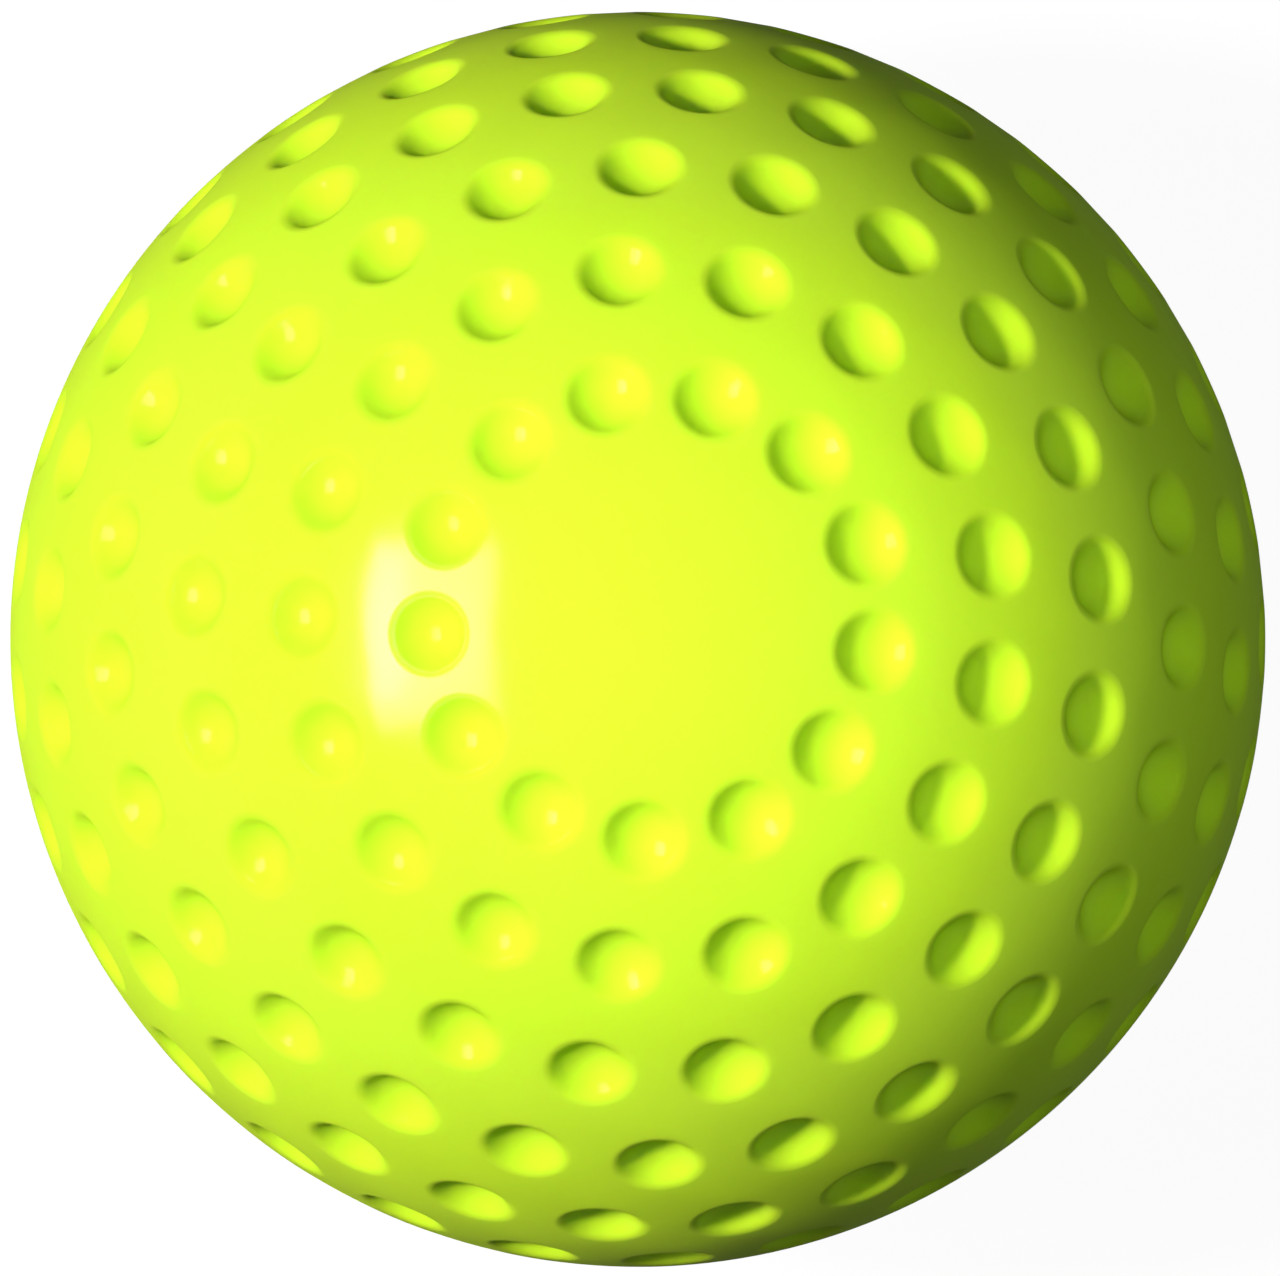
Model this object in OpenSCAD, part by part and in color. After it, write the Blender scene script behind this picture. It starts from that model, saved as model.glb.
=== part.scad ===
// Dimpled hard ball: two moulded half covers bonded over a cork composition core.
// Millimetres. The origin is the ball's centre, Z runs through the bare caps
// and the halves meet on the XY plane.

/* [Ball] */
// Outer diameter of the ball
ball_d = 73; // [68:0.5:80]
// Thickness of the moulded cover
cover_wall = 6; // [4.5:0.5:9]
// Room for the bond between the core and the cover, all round
bond_gap = 0.15; // [0.05:0.05:0.3]

/* [Dimples] */
// Diameter of a dimple at the ball's surface
dimple_d = 4.6; // [4:0.05:5.5]
// Depth of a dimple below the ball's surface
dimple_depth = 1.35; // [0.8:0.05:1.6]
// Width of the broken edge, measured to each side of a dimple's rim
lip_w = 0.3; // [0.16:0.02:0.4]
// Angle from one ring of dimples to the next
ring_step = 12.6; // [11.5:0.1:14]
// Dimples in each ring, from the bare cap down to the parting line
ring_counts = [13, 17, 21, 25, 28, 29]; // [6:1:29]
// Turn of each ring away from the index meridian, in the same order
ring_turns = [0, 0, 0, -4.2, -0.7, 0]; // [-15:0.1:15]
// Heading of the index meridian, where every ring starts
index_heading = 73.9; // [0:0.1:360]

/* [Parting line] */
// Width of the tongue that locates the two halves
tongue_w = 2; // [1.2:0.1:2.6]
// Height of the tongue
tongue_h = 1.5; // [0.8:0.1:3]
// Room between the tongue and each wall of its groove
tongue_gap = 0.1; // [0.05:0.05:0.3]
// Broken edge on the outside of each half at the parting line
seam_break = 0.15; // [0.05:0.05:0.4]

/* [Hidden] */
$fn = 128;

// Facets of a dimple, which is far smaller than the ball
dimple_fn = 48;

ball_r = ball_d/2;
cavity_r = ball_r - cover_wall;
core_r = cavity_r - bond_gap;
tongue_r = ball_r - cover_wall/2;

// The bowl of a dimple is part of a sphere through its rim and its deepest point
rim_r = dimple_d/2;
rim_z = sqrt(ball_r^2 - rim_r^2);
bowl_h = rim_z - (ball_r - dimple_depth);
bowl_r = (rim_r^2 + bowl_h^2)/(2*bowl_h);
bowl_z = ball_r - dimple_depth + bowl_r;

// The broken edge is a cone from the bowl, inside the rim, to the ball's surface outside it
lip_in_r = rim_r - lip_w;
lip_in_z = bowl_z - sqrt(bowl_r^2 - lip_in_r^2);
lip_out_r = rim_r + lip_w;
lip_out_z = sqrt(ball_r^2 - lip_out_r^2);
lip_slope = (lip_out_z - lip_in_z)/(lip_out_r - lip_in_r);
// The cutter runs on past the surface by this much, and stays clear of its neighbours
cut_past = lip_w/4;

// Angle of a ring from the pole: the last one lies half a step above the parting line
function ring_angle(ring) = 90 - ring_step*(len(ring_counts) - ring - 0.5);

// Section of the cutter for one dimple: the bowl, and the waste above the broken edge.
// The waste starts inside the bowl, so the two shapes overlap and cross where the edge begins.
module dimple_section() {
    intersection() {
        translate([0, bowl_z])
            circle(r = bowl_r);
        translate([0, ball_r - 2*dimple_depth])
            square([bowl_r, 2*dimple_depth]);
    }
    polygon([
        [0, ball_r - dimple_depth/2],
        [lip_in_r - lip_w, lip_in_z - lip_w*lip_slope],
        [lip_out_r + cut_past, lip_out_z + cut_past*lip_slope],
        [lip_out_r + cut_past, ball_r + cut_past],
        [0, ball_r + cut_past]
    ]);
}

// Cutter for one dimple, standing on the Z axis
module dimple_cutter() {
    rotate_extrude($fn = dimple_fn)
        dimple_section();
}

// Cutters for one half, ring by ring
module dimple_rings() {
    for (ring = [0 : len(ring_counts) - 1])
        for (dimple = [0 : ring_counts[ring] - 1])
            rotate([0, ring_angle(ring), ring_turns[ring] + dimple*360/ring_counts[ring]])
                dimple_cutter();
}

// Section of a half cover: a quarter ring with its outer edge broken at the parting line
module cover_section() {
    difference() {
        intersection() {
            circle(r = ball_r);
            square(ball_r);
        }
        circle(r = cavity_r);
        translate([ball_r, 0])
            rotate(45)
                square(seam_break*sqrt(2), center = true);
    }
}

// Section of the tongue, or of its groove when the room around it is given
module tongue_section(room = 0) {
    translate([tongue_r - tongue_w/2 - room, -tongue_h - room])
        square([tongue_w + 2*room, tongue_h + room]);
}

// Half cover with its tongue hanging below the parting line
module upper_cover() {
    color("#d8ee2e")
    rotate(index_heading)
    difference() {
        rotate_extrude()
            union() {
                cover_section();
                tongue_section();
            }
        dimple_rings();
    }
}

// Half cover of the same form, turned over, with a groove in place of the tongue
module lower_cover() {
    color("#d0e828")
    rotate(index_heading)
    rotate([180, 0, 0])
    difference() {
        rotate_extrude()
            difference() {
                cover_section();
                mirror([0, 1])
                    tongue_section(room = tongue_gap);
            }
        dimple_rings();
    }
}

// Ball of ground cork pressed with a rubber binder
module core() {
    color("#9a6a3c")
    sphere(r = core_r);
}

upper_cover();
lower_cover();
core();
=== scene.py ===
# %% [markdown]
# # A dimpled hard ball
# The ball is two moulded plastic half covers bonded over a ball of pressed cork.
# Rings of round dimples run from the parting line up to a bare cap on each half.
# This lesson loads the measured solids, makes a finer skin for each of them, gives
# each its finish, and then lights and frames the ball as in a product photograph.

# %% Load the measured ball
import math

import bmesh
import bpy
from mathutils import Matrix, Vector


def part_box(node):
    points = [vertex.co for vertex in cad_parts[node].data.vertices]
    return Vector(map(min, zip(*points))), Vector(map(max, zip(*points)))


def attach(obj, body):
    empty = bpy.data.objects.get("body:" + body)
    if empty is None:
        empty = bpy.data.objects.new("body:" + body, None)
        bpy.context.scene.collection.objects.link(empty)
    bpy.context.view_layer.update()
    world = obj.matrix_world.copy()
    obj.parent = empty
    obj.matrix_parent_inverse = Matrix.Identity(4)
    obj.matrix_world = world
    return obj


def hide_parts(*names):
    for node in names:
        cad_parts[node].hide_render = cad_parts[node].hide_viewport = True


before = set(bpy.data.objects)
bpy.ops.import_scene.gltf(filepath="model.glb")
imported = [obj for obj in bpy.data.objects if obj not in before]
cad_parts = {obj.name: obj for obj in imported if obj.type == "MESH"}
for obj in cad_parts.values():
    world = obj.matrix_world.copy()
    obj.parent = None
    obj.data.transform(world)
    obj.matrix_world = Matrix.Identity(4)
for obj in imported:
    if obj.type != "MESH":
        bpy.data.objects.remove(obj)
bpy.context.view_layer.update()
scene = bpy.context.scene

# %% [markdown]
# ## Sizes
# Everything that the solids can tell is read from them: the ball's radius from the top
# of the upper cover, the tongue's height from its underside and the core from its box.
# The rest are the moulder's own sizes, in metres and degrees, as on the drawing.

# %% Sizes of the ball and its dimples
MM = 0.001

upper_low, upper_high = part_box("upper_cover")
_, core_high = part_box("core")
ball_r = upper_high.z
core_r = core_high.z
tongue_h = -upper_low.z
bond_gap = 0.15 * MM
cavity_r = core_r + bond_gap

dimple_depth = 1.35 * MM
bowl_r = 2.71 * MM
lip_r = 1.0 * MM

ring_step = math.radians(12.6)
ring_counts = (13, 17, 21, 25, 28, 29)
ring_turns = tuple(math.radians(turn) for turn in (0.0, 0.0, 0.0, -4.2, -0.7, 0.0))
index_heading = math.radians(73.9)

tongue_w = 2.0 * MM
tongue_gap = 0.1 * MM
seam_break = 0.15 * MM
tongue_r = (ball_r + cavity_r) / 2

# The lip of a dimple is an arc that touches the bowl inside and the ball outside
bowl_height = ball_r - dimple_depth + bowl_r
lip_height = ((ball_r - lip_r) ** 2 - (bowl_r + lip_r) ** 2 + bowl_height**2) / (2 * bowl_height)
lip_centre = math.sqrt((ball_r - lip_r) ** 2 - lip_height**2)
bowl_edge = bowl_r * lip_centre / (bowl_r + lip_r)
lip_edge = ball_r * lip_centre / (ball_r - lip_r)


def ring_polar(ring):
    """Angle of a ring from the pole: the last ring lies half a step above the parting line."""
    return math.pi / 2 - ring_step * (len(ring_counts) - ring - 0.5)


print(f"ball {2 * ball_r / MM:.2f} mm, core {2 * core_r / MM:.2f} mm, {sum(ring_counts)} dimples a half")
print(f"a bowl is {2 * bowl_edge / MM:.2f} mm across and its lip {2 * lip_edge / MM:.2f} mm")

# %% [markdown]
# ## Small helpers for node trees
# Geometry and shader trees are built by the same two steps: add a node, then set or link
# its inputs. One helper does both, and a second one writes a calculation as a Math node.

# %% Node helpers


def add(tree, kind, inputs=None, **settings):
    """One node: settings are its properties, and inputs are values or links by name or number."""
    node = tree.nodes.new(kind)
    for name, value in settings.items():
        setattr(node, name, value)
    for key, value in (inputs or {}).items():
        if isinstance(value, bpy.types.NodeSocket):
            tree.links.new(value, node.inputs[key])
        else:
            node.inputs[key].default_value = value
    return node


def calc(tree, operation, *values):
    """A Math node's result."""
    return add(tree, "ShaderNodeMath", dict(enumerate(values)), operation=operation).outputs[0]


# %% [markdown]
# ## The dimpled skin
# A dimple is a spherical bowl whose lip rolls softly out to the ball, because the pins of the
# mould have rounded shoulders. Pushing a plain sphere's vertices inwards would leave ragged
# rims, so each dimple is a small round patch of its own, with loops that follow the bowl and
# crowd at the lip. A patch also notes where its lip lies and how dull each loop is, which the
# finish reads later.
# One point per ring carries its count, its angle and its turn. Geometry Nodes copy those
# points, stand a patch on every copy, and fill the land between the patches. The fill works
# on a plane, so the ball is flattened first by a projection from the opposite pole, which
# keeps circles round, and is then rolled back.

# %% Ring points


def ring_points():
    """One vertex per ring of dimples, with the ring's data as attributes."""
    mesh = bpy.data.meshes.new("dimple_rings")
    mesh.from_pydata([(0, 0, 0)] * len(ring_counts), [], [])
    data = {
        "ring": ("INT", range(len(ring_counts))),
        "count": ("INT", ring_counts),
        "polar": ("FLOAT", [ring_polar(ring) for ring in range(len(ring_counts))]),
        "turn": ("FLOAT", ring_turns),
    }
    for name, (kind, values) in data.items():
        mesh.attributes.new(name, kind, "POINT").data.foreach_set("value", list(values))
    rings = bpy.data.objects.new("dimple_rings", mesh)
    scene.collection.objects.link(rings)
    return rings


rings = ring_points()
print(f"{len(rings.data.vertices)} ring points for {sum(ring_counts)} dimples")

# %% Inputs of the skin's tree
SKIN_INPUTS = {
    "Ball Radius": ("NodeSocketFloat", ball_r),
    "Bowl Radius": ("NodeSocketFloat", bowl_r),
    "Bowl Height": ("NodeSocketFloat", bowl_height),
    "Bowl Edge": ("NodeSocketFloat", bowl_edge),
    "Lip Radius": ("NodeSocketFloat", lip_r),
    "Lip Height": ("NodeSocketFloat", lip_height),
    "Lip Centre": ("NodeSocketFloat", lip_centre),
    "Lip Edge": ("NodeSocketFloat", lip_edge),
    "Half Step": ("NodeSocketFloat", ring_step / 2),
    "Lowest Parallel": ("NodeSocketFloat", math.acos(seam_break / ball_r)),
    "Dimple Sides": ("NodeSocketInt", 36),
    "Bowl Loops": ("NodeSocketInt", 6),
    "Lip Loops": ("NodeSocketInt", 6),
    "Parallel Sides": ("NodeSocketInt", 240),
    "Finish": ("NodeSocketMaterial", None),
}
print(f"the skin's tree takes {len(SKIN_INPUTS)} inputs")

# %% Steps that the geometry trees share


def sockets(tree, inputs):
    """Declares a tree's geometry and its named inputs, and returns the sockets that give them."""
    tree.interface.new_socket("Geometry", in_out="INPUT", socket_type="NodeSocketGeometry")
    tree.interface.new_socket("Geometry", in_out="OUTPUT", socket_type="NodeSocketGeometry")
    for name, (kind, _) in inputs.items():
        tree.interface.new_socket(name, in_out="INPUT", socket_type=kind)
    return tree.nodes.new("NodeGroupInput").outputs


def attribute(tree, name, kind="FLOAT"):
    """A named attribute's value."""
    return add(tree, "GeometryNodeInputNamedAttribute", {"Name": name}, data_type=kind).outputs[0]


def vector(tree, x, y, z):
    """Three values as one vector."""
    return add(tree, "ShaderNodeCombineXYZ", {0: x, 1: y, 2: z}).outputs[0]


def split_position(tree):
    """The three parts of the position."""
    position = add(tree, "GeometryNodeInputPosition").outputs[0]
    return add(tree, "ShaderNodeSeparateXYZ", {0: position}).outputs


def place(tree, geometry, position):
    """The geometry with its points at the given position."""
    return add(tree, "GeometryNodeSetPosition", {"Geometry": geometry, "Position": position}).outputs[0]


def noted(tree, geometry, name, value):
    """The geometry with a value stored on its points under a name."""
    inputs = {"Geometry": geometry, "Name": name, "Value": value}
    return add(tree, "GeometryNodeStoreNamedAttribute", inputs, domain="POINT").outputs[0]


def ball_height(tree, radius, reach):
    """Height of a sphere over its middle plane, at a distance from its axis."""
    whole = calc(tree, "MULTIPLY", radius, radius)
    gone = calc(tree, "MULTIPLY", reach, reach)
    return calc(tree, "SQRT", calc(tree, "SUBTRACT", whole, gone))


def joined(tree, *parts):
    """Several geometries as one."""
    join = tree.nodes.new("GeometryNodeJoinGeometry")
    for part in parts:
        tree.links.new(part, join.inputs[0])
    return join.outputs[0]


def dressed(tree, geometry, finish):
    """Ends a tree with its geometry in the given finish."""
    result = add(tree, "GeometryNodeSetMaterial", {"Geometry": geometry, "Material": finish}).outputs[0]
    add(tree, "NodeGroupOutput", {0: result})


# %% [markdown]
# ### One dimple
# A flat grid is rolled into a disc: across becomes the angle and along becomes the loop. The
# loop gives the distance from the middle, first by steps of the bowl and then by the finer
# steps of the lip, and the height follows from the two circles of the section. The bowls are
# rather dull and the inner lip is quite dull, while the outer third of the lip has the polish.

# %% One dimple
BOWL_DULLNESS = 0.7
POLISHED_LIP = 1 / 3


def dimple_patch(tree, size):
    """A round patch standing on the Z axis: the bowl and its lip."""
    loops = calc(tree, "ADD", size["Bowl Loops"], size["Lip Loops"])
    grid = add(
        tree,
        "GeometryNodeMeshGrid",
        {
            "Size X": 1.0,
            "Size Y": 1.0,
            "Vertices X": calc(tree, "ADD", size["Dimple Sides"], 1),
            "Vertices Y": calc(tree, "ADD", loops, 1),
        },
    ).outputs[0]
    across, along, _ = split_position(tree)
    angle = calc(tree, "MULTIPLY", calc(tree, "ADD", across, 0.5), math.tau)
    loop = calc(tree, "MULTIPLY", calc(tree, "ADD", along, 0.5), loops)

    bowl_step = calc(tree, "DIVIDE", size["Bowl Edge"], size["Bowl Loops"])
    lip_width = calc(tree, "SUBTRACT", size["Lip Edge"], size["Bowl Edge"])
    lip_step = calc(tree, "DIVIDE", lip_width, size["Lip Loops"])
    bowl_loop = calc(tree, "MINIMUM", loop, size["Bowl Loops"])
    lip_loop = calc(tree, "SUBTRACT", loop, bowl_loop)
    in_bowl = calc(tree, "MULTIPLY", bowl_loop, bowl_step)
    reach = calc(tree, "ADD", in_bowl, calc(tree, "MULTIPLY", lip_loop, lip_step))

    bowl_z = calc(tree, "SUBTRACT", size["Bowl Height"], ball_height(tree, size["Bowl Radius"], reach))
    past_lip = calc(tree, "SUBTRACT", reach, size["Lip Centre"])
    lip_z = calc(tree, "ADD", size["Lip Height"], ball_height(tree, size["Lip Radius"], past_lip))
    on_lip = calc(tree, "GREATER_THAN", lip_loop, 0.5)
    rise = calc(tree, "MULTIPLY", on_lip, calc(tree, "SUBTRACT", lip_z, bowl_z))
    skin_z = calc(tree, "ADD", bowl_z, rise)

    out = calc(tree, "DIVIDE", lip_loop, size["Lip Loops"])
    past_polish = calc(tree, "SUBTRACT", 1 - POLISHED_LIP, out)
    from_land = calc(tree, "MAXIMUM", calc(tree, "MULTIPLY", past_polish, size["Lip Loops"]), 0.0)
    from_bowl = calc(tree, "ADD", BOWL_DULLNESS, out)
    dull = calc(tree, "MINIMUM", calc(tree, "MINIMUM", from_land, from_bowl), 1.0)
    marked = noted(tree, noted(tree, grid, "dull", dull), "lip", on_lip)
    east = calc(tree, "MULTIPLY", reach, calc(tree, "COSINE", angle))
    north = calc(tree, "MULTIPLY", reach, calc(tree, "SINE", angle))
    return place(tree, marked, vector(tree, east, north, skin_z))


def dimple_outline(tree, size):
    """The edge of a patch, as a curve on the ball."""
    inputs = {"Resolution": size["Dimple Sides"], "Radius": size["Lip Edge"]}
    circle = add(tree, "GeometryNodeCurvePrimitiveCircle", inputs).outputs[0]
    x, y, _ = split_position(tree)
    height = ball_height(tree, size["Ball Radius"], size["Lip Edge"])
    return place(tree, circle, vector(tree, x, y, height))


# %% [markdown]
# ### The land between the dimples
# Each ring's land is filled on the plane between two circles of latitude, with the dimples'
# outlines as holes. A circle at an angle from the pole lies on the plane at the tangent of
# half that angle.

# %% Land between the dimples


def flattened(tree, curves, ball_radius):
    """Curves on the ball, seen on a plane from the opposite pole."""
    x, y, z = split_position(tree)
    far = calc(tree, "ADD", ball_radius, z)
    spot = vector(tree, calc(tree, "DIVIDE", x, far), calc(tree, "DIVIDE", y, far), 0.0)
    return place(tree, curves, spot)


def rolled_back(tree, plane, ball_radius):
    """The flattened land, back on the ball."""
    x, y, _ = split_position(tree)
    square = calc(tree, "ADD", calc(tree, "MULTIPLY", x, x), calc(tree, "MULTIPLY", y, y))
    scale = calc(tree, "DIVIDE", ball_radius, calc(tree, "ADD", square, 1.0))
    wide = calc(tree, "MULTIPLY", scale, 2.0)
    height = calc(tree, "MULTIPLY", scale, calc(tree, "SUBTRACT", 1.0, square))
    spot = vector(tree, calc(tree, "MULTIPLY", x, wide), calc(tree, "MULTIPLY", y, wide), height)
    return place(tree, plane, spot)


def parallel(tree, rings, size, polar):
    """For each ring a circle of latitude, on the plane, at the given angle from the pole."""
    circle = add(
        tree, "GeometryNodeCurvePrimitiveCircle", {"Resolution": size["Parallel Sides"], "Radius": 1.0}
    ).outputs[0]
    span = calc(tree, "TANGENT", calc(tree, "MULTIPLY", polar, 0.5))
    copies = add(
        tree,
        "GeometryNodeInstanceOnPoints",
        {"Points": rings, "Instance": circle, "Scale": vector(tree, span, span, 1.0)},
    ).outputs[0]
    return add(tree, "GeometryNodeRealizeInstances", {0: copies}).outputs[0]


# %% [markdown]
# ### The whole skin
# Now the parts come together: the patches stand on the copied points, the land is filled ring
# by ring and rolled back, and all of it is welded where the edges meet.

# %% Tree of the whole skin
WELD = 0.001 * MM


def skin_tree():
    """Dimples and the land between them, for one half, without the cap."""
    tree = bpy.data.node_groups.new("Dimpled skin", "GeometryNodeTree")
    size = sockets(tree, SKIN_INPUTS)
    rings = add(tree, "GeometryNodeMeshToPoints", {"Mesh": size["Geometry"]}).outputs[0]

    count = attribute(tree, "count", "INT")
    polar = attribute(tree, "polar")
    each = {"Geometry": rings, "Amount": count}
    copies = add(tree, "GeometryNodeDuplicateElements", each, domain="POINT")
    share = calc(tree, "DIVIDE", copies.outputs["Duplicate Index"], count)
    heading = calc(tree, "ADD", attribute(tree, "turn"), calc(tree, "MULTIPLY", share, math.tau))
    turn = add(tree, "FunctionNodeEulerToRotation", {0: vector(tree, 0.0, polar, heading)}).outputs[0]

    def on_dimples(shape):
        stood = add(
            tree,
            "GeometryNodeInstanceOnPoints",
            {"Points": copies.outputs["Geometry"], "Instance": shape, "Rotation": turn},
        ).outputs[0]
        return add(tree, "GeometryNodeRealizeInstances", {0: stood}).outputs[0]

    dimples = on_dimples(dimple_patch(tree, size))
    outlines = flattened(tree, on_dimples(dimple_outline(tree, size)), size["Ball Radius"])
    above = parallel(tree, rings, size, calc(tree, "SUBTRACT", polar, size["Half Step"]))
    lower = calc(tree, "MINIMUM", calc(tree, "ADD", polar, size["Half Step"]), size["Lowest Parallel"])
    below = parallel(tree, rings, size, lower)
    fill = add(
        tree,
        "GeometryNodeFillCurve",
        {"Curve": joined(tree, outlines, above, below), "Group ID": attribute(tree, "ring", "INT")},
        mode="TRIANGLES",
    ).outputs[0]
    land = rolled_back(tree, fill, size["Ball Radius"])

    whole = add(tree, "GeometryNodeRealizeInstances", {0: joined(tree, dimples, land)}).outputs[0]
    welded = add(tree, "GeometryNodeMergeByDistance", {"Geometry": whole, "Distance": WELD}).outputs[0]
    dressed(tree, welded, size["Finish"])
    return tree


dimpled_skin = skin_tree()
print(f"{dimpled_skin.name}: {len(dimpled_skin.nodes)} nodes")

# %% Run a tree


def grown(host, tree, inputs, finish):
    """Runs a tree on the host object and returns the result as a plain mesh; the host goes."""
    modifier = host.modifiers.new(tree.name, "NODES")
    modifier.node_group = tree
    for item in tree.interface.items_tree:
        if item.in_out == "INPUT" and item.name in inputs:
            value = inputs[item.name][1]
            modifier[item.identifier] = finish if value is None else value
    result = host.evaluated_get(bpy.context.evaluated_depsgraph_get())
    mesh = bpy.data.meshes.new_from_object(result)
    host.modifiers.remove(modifier)
    bpy.data.objects.remove(host)
    return mesh


# %% [markdown]
# ## The finish of the cover
# The cover is glossy PVC, dyed a fluorescent yellow-green all through. Its gloss is a thin
# polished surface over a softly scattering body, so the colour sits in the base, which lets
# light spread a little under the skin, and a coat gives the highlight. The polish reaches the
# land and the start of each lip, where it lies as level as the ball itself. It hardly reaches
# the rest of the lip and the bowls, and it fades from the caps to a duller belt along the
# parting line, so the coat thins in those places. The mould leaves a very fine ripple, and
# the dye is never quite even.

# %% Steps that the materials share


def shader(name):
    """A new material with its tree, its Principled shader and the object's own coordinates."""
    material = bpy.data.materials.new(name)
    material.use_nodes = True
    tree = material.node_tree
    spot = add(tree, "ShaderNodeTexCoord").outputs["Object"]
    return material, tree, tree.nodes["Principled BSDF"], spot


def noise(tree, spot, grain, detail=2.0):
    """Even noise whose features are about one grain wide."""
    inputs = {"Vector": spot, "Scale": 1.0 / grain, "Detail": detail}
    return add(tree, "ShaderNodeTexNoise", inputs).outputs["Fac"]


def between(tree, fac, low, high):
    """The factor, stretched to run from low to high."""
    return add(tree, "ShaderNodeMapRange", {"Value": fac, "To Min": low, "To Max": high}).outputs[0]


def tinted(tree, fac, first, second):
    """A mix of two colours."""
    mix = add(tree, "ShaderNodeMix", {0: fac}, data_type="RGBA")
    for plug, colour in zip((mix.inputs[6], mix.inputs[7]), (first, second)):
        if isinstance(colour, bpy.types.NodeSocket):
            tree.links.new(colour, plug)
        else:
            plug.default_value = (*colour, 1.0)
    return mix.outputs[2]


# %% Cover material
DEEP_DYE = (0.625, 0.965, 0.025)
LIGHT_DYE = (0.66, 0.99, 0.033)
DYE_PATCH = 14 * MM
BODY_ROUGHNESS = (0.42, 0.55)
ROUGHNESS_PATCH = 2.2 * MM
RIPPLE_WIDTH = 3.0 * MM
RIPPLE_HEIGHT = 0.05 * MM
POLISHED_COAT = 0.081
DULL_COAT = 0.008
BELT_DULLNESS = 0.8
BELT_HEIGHT = 0.45 * ball_r
CAP_HEIGHT = 0.85 * ball_r


def cover_plastic():
    """Fluorescent yellow-green PVC, polished on the caps, duller in the dimples and on the belt."""
    material, tree, body, spot = shader("cover_pvc")
    colour = tinted(tree, noise(tree, spot, DYE_PATCH), DEEP_DYE, LIGHT_DYE)
    tree.links.new(colour, body.inputs["Base Color"])
    roughness = between(tree, noise(tree, spot, ROUGHNESS_PATCH), *BODY_ROUGHNESS)
    tree.links.new(roughness, body.inputs["Roughness"])
    ripple = noise(tree, spot, RIPPLE_WIDTH, detail=3.0)
    relief = {"Strength": 0.12, "Distance": RIPPLE_HEIGHT, "Height": ripple}
    skin_normal = add(tree, "ShaderNodeBump", relief).outputs[0]
    tree.links.new(skin_normal, body.inputs["Normal"])

    to_world = {"vector_type": "NORMAL", "convert_from": "OBJECT", "convert_to": "WORLD"}
    outwards = add(tree, "ShaderNodeVectorTransform", {0: spot}, **to_world).outputs[0]
    ball_normal = add(tree, "ShaderNodeBump", {**relief, "Normal": outwards}).outputs[0]
    lip = add(tree, "ShaderNodeAttribute", attribute_name="lip").outputs["Fac"]
    sides = {0: lip, 4: skin_normal, 5: ball_normal}
    coat_normal = add(tree, "ShaderNodeMix", sides, data_type="VECTOR").outputs[1]
    tree.links.new(coat_normal, body.inputs["Coat Normal"])
    height = calc(tree, "ABSOLUTE", add(tree, "ShaderNodeSeparateXYZ", {0: spot}).outputs[2])
    rise = {"Value": height, "From Min": BELT_HEIGHT, "From Max": CAP_HEIGHT}
    rise.update({"To Min": BELT_DULLNESS, "To Max": 0.0})
    belt = add(tree, "ShaderNodeMapRange", rise).outputs[0]
    dimple = add(tree, "ShaderNodeAttribute", attribute_name="dull").outputs["Fac"]
    dull = calc(tree, "MAXIMUM", dimple, belt)
    tree.links.new(between(tree, dull, POLISHED_COAT, DULL_COAT), body.inputs["Coat Weight"])
    body.inputs["Coat Roughness"].default_value = 0.14
    body.inputs["Coat IOR"].default_value = 3.0
    body.inputs["Specular IOR Level"].default_value = 0.0
    body.inputs["Subsurface Weight"].default_value = 0.3
    body.inputs["Subsurface Radius"].default_value = (0.7, 1.0, 0.3)
    body.inputs["Subsurface Scale"].default_value = 1.0 * MM
    return material


cover_finish = cover_plastic()
print(f"{cover_finish.name}: {len(cover_finish.node_tree.nodes)} nodes")

# %% [markdown]
# ## Rim, tongue and lining
# The rest of a half is round: the bare cap, the broken edge at the parting line, the flat rim
# with its locating tongue or groove, and the hollow for the core. A section is turned round
# the axis for these, with as many sides as the skin's parallels, so the two weld together.

# %% Turn a section round the axis
PARALLEL_SIDES = SKIN_INPUTS["Parallel Sides"][1]


def turned(bm, section):
    """Faces swept by a section of (radius, height) points round the Z axis."""
    loops = []
    for radius, height in section:
        angles = (math.tau * side / PARALLEL_SIDES for side in range(PARALLEL_SIDES))
        points = [(radius * math.cos(a), radius * math.sin(a), height) for a in angles]
        loops.append([bm.verts.new(point) for point in points])
    for first, second in zip(loops, loops[1:]):
        for side in range(PARALLEL_SIDES):
            after = (side + 1) % PARALLEL_SIDES
            bm.faces.new((first[side], first[after], second[after], second[side]))


def arc(radius, start, end, steps):
    """Points of a circle about the centre, from one angle off the pole to another."""
    angles = (start + (end - start) * step / steps for step in range(steps + 1))
    return [(radius * math.sin(angle), radius * math.cos(angle)) for angle in angles]


# %% One half as a closed mesh
CAP_LOOPS = 12
LINING_LOOPS = 36
SHARP_ANGLE = math.radians(40)


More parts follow.
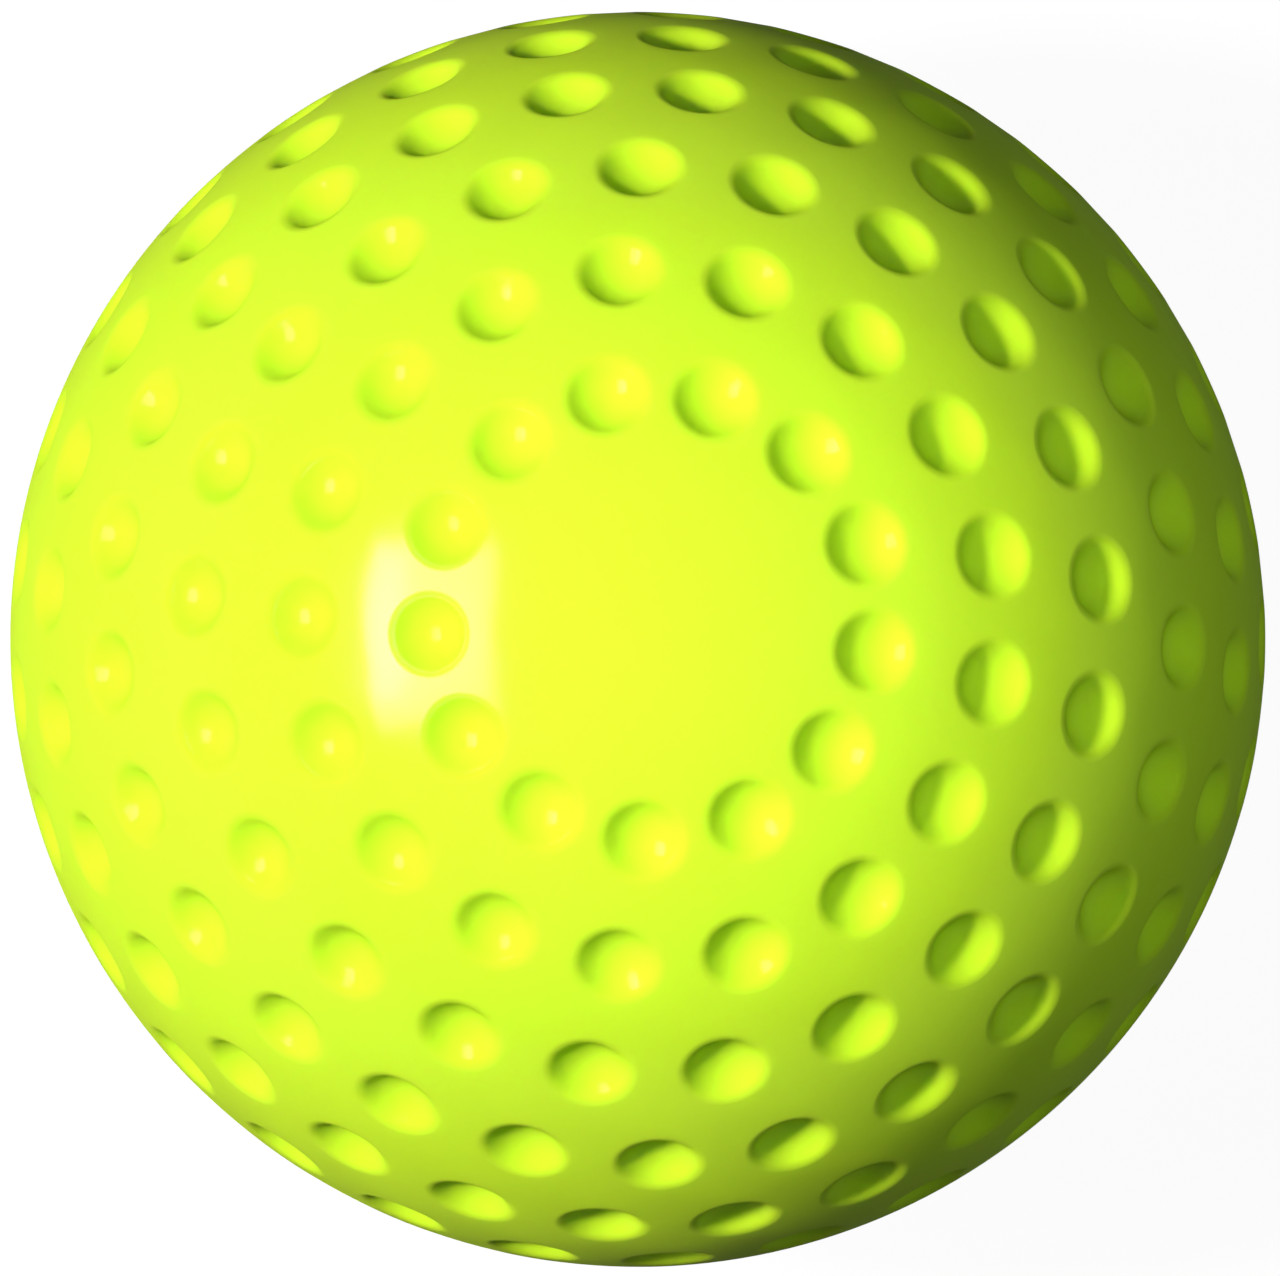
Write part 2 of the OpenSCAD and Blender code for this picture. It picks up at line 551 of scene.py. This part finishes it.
def half_cover(name, skin, tongue_rise, room, turn):
    """One half: its skin, cap, rim with a tongue or a groove, and lining, as a closed mesh."""
    bm = bmesh.new()
    bm.from_mesh(skin)
    turned(bm, arc(ball_r, 0.0, ring_polar(0) - ring_step / 2, CAP_LOOPS))
    outer, inner = tongue_r + tongue_w / 2 + room, tongue_r - tongue_w / 2 - room
    step = [(outer, 0.0), (outer, tongue_rise), (inner, tongue_rise), (inner, 0.0)]
    edge = [(math.sqrt(ball_r**2 - seam_break**2), seam_break), (ball_r - seam_break, 0.0)]
    turned(bm, edge + step + arc(cavity_r, math.pi / 2, 0.0, LINING_LOOPS))
    bmesh.ops.remove_doubles(bm, verts=bm.verts, dist=WELD)
    bmesh.ops.dissolve_degenerate(bm, edges=bm.edges, dist=WELD / 10)
    bmesh.ops.recalc_face_normals(bm, faces=bm.faces)
    bm.transform(turn)
    open_edges = sum(1 for edge in bm.edges if len(edge.link_faces) != 2)
    mesh = bpy.data.meshes.new(name)
    bm.to_mesh(mesh)
    volume = bm.calc_volume(signed=True)
    bm.free()
    mesh.materials.clear()
    mesh.materials.append(cover_finish)
    mesh.shade_smooth()
    mesh.set_sharp_from_angle(angle=SHARP_ANGLE)
    half = bpy.data.objects.new(name, mesh)
    scene.collection.objects.link(half)
    mesh.calc_loop_triangles()
    triangles = len(mesh.loop_triangles)
    print(f"{name}: {triangles} triangles, {open_edges} open edges, {volume * 1e6:.2f} cm3")
    return half


# %% Make both halves
skin = grown(rings, dimpled_skin, SKIN_INPUTS, cover_finish)
print(f"skin: {len(skin.polygons)} faces")
index_turn = Matrix.Rotation(index_heading, 4, "Z")
turned_over = index_turn @ Matrix.Rotation(math.pi, 4, "X")
upper_half = half_cover("upper_half", skin, -tongue_h, 0.0, index_turn)
lower_half = half_cover("lower_half", skin, tongue_h + tongue_gap, tongue_gap, turned_over)
bpy.data.meshes.remove(skin)

# %% [markdown]
# ## The cork core
# Inside lies a ball of ground cork pressed with a rubber binder. Its skin shows the granules:
# rounded grains with thin valleys of binder between them. A cell texture gives both the relief,
# as geometry, and the colours, from the same grain size, so that they agree.

# %% Cork material
GRAIN = 3.2 * MM
SPECK = 0.5 * MM
PORE = 0.4 * MM
DARK_CORK = (0.19, 0.085, 0.032)
LIGHT_CORK = (0.50, 0.285, 0.125)
BARK = (0.10, 0.045, 0.02)
BINDER = (0.035, 0.02, 0.012)


def cork():
    """Pressed cork: grains of several browns in a dark binder."""
    material, tree, body, spot = shader("core_cork")
    grains = {"Vector": spot, "Scale": 1.0 / GRAIN}
    cells = add(tree, "ShaderNodeTexVoronoi", grains)
    edges = add(tree, "ShaderNodeTexVoronoi", grains, feature="DISTANCE_TO_EDGE").outputs["Distance"]
    tone = add(tree, "ShaderNodeSeparateColor", {0: cells.outputs["Color"]}).outputs[0]
    grain = tinted(tree, tone, DARK_CORK, LIGHT_CORK)
    specks = {"Value": noise(tree, spot, SPECK), "From Min": 0.6, "From Max": 0.72}
    speckled = add(tree, "ShaderNodeMapRange", specks).outputs[0]
    grain = tinted(tree, speckled, grain, BARK)
    valley = {"Value": edges, "From Min": 0.02, "From Max": 0.09}
    inside = add(tree, "ShaderNodeMapRange", valley).outputs[0]
    tree.links.new(tinted(tree, inside, BINDER, grain), body.inputs["Base Color"])
    pores = noise(tree, spot, PORE, detail=4.0)
    relief = {"Strength": 0.5, "Distance": 0.08 * MM, "Height": pores}
    tree.links.new(add(tree, "ShaderNodeBump", relief).outputs[0], body.inputs["Normal"])
    body.inputs["Roughness"].default_value = 0.82
    return material


cork_finish = cork()
print(f"{cork_finish.name}: {len(cork_finish.node_tree.nodes)} nodes")

# %% Core mesh
CORE_INPUTS = {
    "Radius": ("NodeSocketFloat", core_r),
    "Grain": ("NodeSocketFloat", GRAIN),
    "Valley": ("NodeSocketFloat", 0.22 * MM),
    "Slope": ("NodeSocketFloat", 0.16),
    "Subdivisions": ("NodeSocketInt", 7),
    "Finish": ("NodeSocketMaterial", None),
}


def core_tree():
    """A ball whose skin sinks a little between its grains."""
    tree = bpy.data.node_groups.new("Pressed cork", "GeometryNodeTree")
    size = sockets(tree, CORE_INPUTS)
    round_ball = {"Radius": size["Radius"], "Subdivisions": size["Subdivisions"]}
    ball = add(tree, "GeometryNodeMeshIcoSphere", round_ball).outputs[0]
    scale = {"Scale": calc(tree, "DIVIDE", 1.0, size["Grain"])}
    edges = add(tree, "ShaderNodeTexVoronoi", scale, feature="DISTANCE_TO_EDGE").outputs["Distance"]
    slope = {"Value": edges, "From Max": size["Slope"]}
    rise = add(tree, "ShaderNodeMapRange", slope, interpolation_type="SMOOTHSTEP").outputs[0]
    sink = calc(tree, "MULTIPLY", calc(tree, "SUBTRACT", rise, 1.0), size["Valley"])
    normal = add(tree, "GeometryNodeInputNormal").outputs[0]
    offset = add(tree, "ShaderNodeVectorMath", {0: normal, "Scale": sink}, operation="SCALE").outputs[0]
    grains = add(tree, "GeometryNodeSetPosition", {"Geometry": ball, "Offset": offset}).outputs[0]
    smooth = add(tree, "GeometryNodeSetShadeSmooth", {0: grains}).outputs[0]
    whole = add(tree, "GeometryNodeRealizeInstances", {0: smooth}).outputs[0]
    dressed(tree, whole, size["Finish"])
    return tree


core_host = bpy.data.objects.new("core_host", bpy.data.meshes.new("core_host"))
scene.collection.objects.link(core_host)
core_mesh = grown(core_host, core_tree(), CORE_INPUTS, cork_finish)
cork_core = bpy.data.objects.new("cork_core", core_mesh)
scene.collection.objects.link(cork_core)
print(f"core: {len(core_mesh.polygons)} faces")

# %% [markdown]
# ## Tie the pieces to the solids
# Each piece stands for one solid and rides on the ball's only body. Both halves take the
# cover's finish and the core takes its own.

# %% Ride and replace
for piece, node, finish in (
    (upper_half, "upper_cover", "cover"),
    (lower_half, "lower_cover", "cover"),
    (cork_core, "core", "core"),
):
    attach(piece, "root")
    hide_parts(node)
    print(f"{piece.name} stands for {node}, in the finish {finish}")

# %% [markdown]
# ## Camera
# The photograph looks almost straight down on the bare cap from far off, with the ball filling
# the frame. The camera's axes are written from the tilt of the cap in the picture, and the lens
# follows from the distance and the radius of the ball's outline in pixels.

# %% Camera
PHOTO_W = 1280
PHOTO_H = 1276
outline_px = 627.6
centre_px = (637.8, 639.4)
cap_lean = (0.0246, 0.0400)
camera_far = 60 * ball_r
SENSOR = 36.0

up = Vector((0.0, math.sqrt(1 - cap_lean[1] ** 2), cap_lean[1]))
lean_z = cap_lean[0]
lean_y = -lean_z * up.z / up.y
right = Vector((math.sqrt(1 - lean_z**2 - lean_y**2), lean_y, lean_z))
back = right.cross(up)

camera_data = bpy.data.cameras.new("photo_camera")
camera = bpy.data.objects.new("photo_camera", camera_data)
scene.collection.objects.link(camera)
scene.camera = camera
axes = Matrix((right, up, back)).transposed().to_4x4()
camera.matrix_world = Matrix.Translation(back * camera_far) @ axes
focal_px = outline_px * math.sqrt((camera_far / ball_r) ** 2 - 1)
camera_data.sensor_width = SENSOR
camera_data.lens = focal_px / PHOTO_W * SENSOR
camera_data.shift_x = (PHOTO_W / 2 - centre_px[0]) / PHOTO_W
camera_data.shift_y = (centre_px[1] - PHOTO_H / 2) / PHOTO_W
camera_data.clip_end = 20.0
print(f"camera {camera_far:.2f} m away, lens {camera_data.lens:.0f} mm")

# %% [markdown]
# ## Floor and light
# The ball lies on a pale floor. The ground is white while the ball's edge is dark, which is the mark of
# a small white ground in dimmer surroundings. So the floor glows white in a round pool about the ball
# and greyer further off, a painted pool of light, for the camera and for reflections alike, and it still
# takes the ball's shadow.

# %% Floor
WHITE_REACH = 54 * MM
GREY_REACH = 95 * MM
WHITE = 0.95
GREY = 0.5
MATT = 0.07
FLOOR_SPAN = 3.0


def seen_rays(tree):
    """One for rays from the camera, from reflections and through clear things."""
    path = add(tree, "ShaderNodeLightPath").outputs
    seen = calc(tree, "MAXIMUM", path["Is Camera Ray"], path["Is Glossy Ray"])
    return calc(tree, "MAXIMUM", seen, path["Is Transmission Ray"])


def floor_glow_pool():
    """A painted pool of light: the floor glows white round the ball and pale grey beyond, and still
    takes a shadow.
    """
    material = bpy.data.materials.new("floor_glow_pool")
    material.use_nodes = True
    tree = material.node_tree
    tree.nodes.clear()
    spot = add(tree, "ShaderNodeTexCoord").outputs["Object"]
    x, y, _ = add(tree, "ShaderNodeSeparateXYZ", {0: spot}).outputs
    square = calc(tree, "ADD", calc(tree, "MULTIPLY", x, x), calc(tree, "MULTIPLY", y, y))
    # The glow fades from white round the ball to grey further off: a painted pool of light.
    fade = {"Value": calc(tree, "SQRT", square), "From Min": WHITE_REACH, "From Max": GREY_REACH}
    fade.update({"To Min": WHITE, "To Max": GREY})
    white = add(tree, "ShaderNodeMapRange", fade, interpolation_type="SMOOTHSTEP").outputs[0]
    glow = add(tree, "ShaderNodeEmission", {"Strength": calc(tree, "MULTIPLY", white, seen_rays(tree))})
    matt = add(tree, "ShaderNodeBsdfDiffuse", {"Color": (MATT, MATT, MATT, 1.0)})
    both = add(tree, "ShaderNodeAddShader", {0: glow.outputs[0], 1: matt.outputs[0]})
    add(tree, "ShaderNodeOutputMaterial", {0: both.outputs[0]})
    return material


floor_mesh = bpy.data.meshes.new("floor")
corners = [(-1, -1), (1, -1), (1, 1), (-1, 1)]
floor_points = [(x * FLOOR_SPAN, y * FLOOR_SPAN, -ball_r) for x, y in corners]
floor_mesh.from_pydata(floor_points, [], [(0, 1, 2, 3)])
floor_mesh.materials.append(floor_glow_pool())
floor = bpy.data.objects.new("floor", floor_mesh)
scene.collection.objects.link(floor)
print(f"floor {ball_r / MM:.2f} mm below the centre, white out to {WHITE_REACH / MM:.0f} mm")

# %% [markdown]
# ## Lamps
# Two lamps on the left light the body of the ball. The small one draws the sharp line between
# light and shade in each bowl, and the wide one softens the left edge. A lamp behind a grid
# adds light in the middle only, and a weak panel opens the shade on the right. The highlight
# is the mirror image of a tall panel with a brighter strip along its left side. Those two show
# in the gloss alone, and the other lamps in the body alone, so each can be set by itself.

# %% Place and make a lamp
LAMP_FAR = 1.0
NO_TINT = (1.0, 1.0, 1.0)


def towards(left, rise):
    """Direction from the ball, in degrees left of and above the camera's axis."""
    across, height = math.radians(left), math.radians(rise)
    level = back * math.cos(across) - right * math.sin(across)
    return level * math.cos(height) + up * math.sin(height)


def hang(name, data, spot, aim):
    """A lamp at a spot, turned to the point that it lights."""
    lamp = bpy.data.objects.new(name, data)
    ahead = (spot - aim).normalized()
    side = up.cross(ahead).normalized()
    axes = Matrix((side, ahead.cross(side), ahead)).transposed().to_4x4()
    lamp.matrix_world = Matrix.Translation(spot) @ axes
    scene.collection.objects.link(lamp)
    return lamp


def panel_lamp(name, left, rise, wide, tall, level, colour=NO_TINT, gloss=True, body=True):
    """A soft panel: wide and tall are its angles as seen from the ball.

    The level is how bright it makes a white surface that faces it.
    """
    data = bpy.data.lights.new(name, "AREA")
    data.shape = "RECTANGLE"
    data.size = 2 * LAMP_FAR * math.tan(math.radians(wide / 2))
    data.size_y = 2 * LAMP_FAR * math.tan(math.radians(tall / 2))
    data.energy = level * (math.pi * LAMP_FAR) ** 2
    data.color = colour
    panel = hang(name, data, towards(left, rise) * LAMP_FAR, Vector())
    panel.visible_glossy = gloss
    panel.visible_diffuse = body


def pool_lamp(name, left, aim_left, pool_r, level, colour):
    """A lamp behind a grid, whose light fades from the middle of a round pool to its edge."""
    data = bpy.data.lights.new(name, "SPOT")
    data.spot_size = 2 * math.atan(pool_r / LAMP_FAR)
    data.spot_blend = 1.0
    data.shadow_soft_size = pool_r / 3
    data.energy = 4 * level * (math.pi * LAMP_FAR) ** 2
    data.color = colour
    aim = towards(aim_left, 0) * ball_r
    hang(name, data, aim + towards(left, 0) * LAMP_FAR, aim).visible_glossy = False


# %% Lamps
SHADE_TINT = (0.94, 1.03, 0.93)
SIDE_TINT = (0.88, 1.1, 0.8)

# Panels by degrees left, up, wide and tall, then level
panel_lamp("key_flash", 32, 2, 6, 6, 0.83, gloss=False)
panel_lamp("key_soft", 46, 0, 20, 20, 0.46, gloss=False)
panel_lamp("side_fill", -45, 2, 30, 30, 0.115, SIDE_TINT, gloss=False)
panel_lamp("highlight_panel", 38.3, 1.2, 22, 31, 0.85, body=False)
panel_lamp("highlight_strip", 46.2, 3, 7.5, 24, 0.2, body=False)
# The pool by degrees left of the lamp and of its aim, its radius, then level
pool_lamp("front_pool", 0, -18, 0.85 * ball_r, 0.34, SHADE_TINT)
print("lamps:", sorted(light.name for light in bpy.data.lights))

# %% [markdown]
# ## Surroundings
# The air meets the floor in the same pale grey and is darker overhead. It lights the ball only
# a little, so that the lamps keep their contrast.

# %% Surroundings
AIR_ABOVE = 0.12
AIR_LIGHT = 0.035
HAZE_FROM = 0.03
HAZE_TO = 0.12

world = bpy.data.worlds.new("studio")
scene.world = world
world.use_nodes = True
air = world.node_tree
air_spot = add(air, "ShaderNodeTexCoord").outputs["Generated"]
tilt = calc(air, "ABSOLUTE", add(air, "ShaderNodeSeparateXYZ", {0: air_spot}).outputs[2])
haze = {"Value": tilt, "From Min": HAZE_FROM, "From Max": HAZE_TO}
haze.update({"To Min": GREY, "To Max": AIR_ABOVE})
shown = add(air, "ShaderNodeMapRange", haze).outputs[0]
level = add(air, "ShaderNodeMix", {0: seen_rays(air), 2: AIR_LIGHT, 3: shown}).outputs[0]
air.links.new(level, air.nodes["Background"].inputs["Strength"])
air.nodes["Background"].inputs["Color"].default_value = (1.0, 1.0, 1.0, 1.0)
scene.view_settings.view_transform = "Standard"
print(f"air: {GREY} at the floor, {AIR_ABOVE} overhead, {AIR_LIGHT} as light")
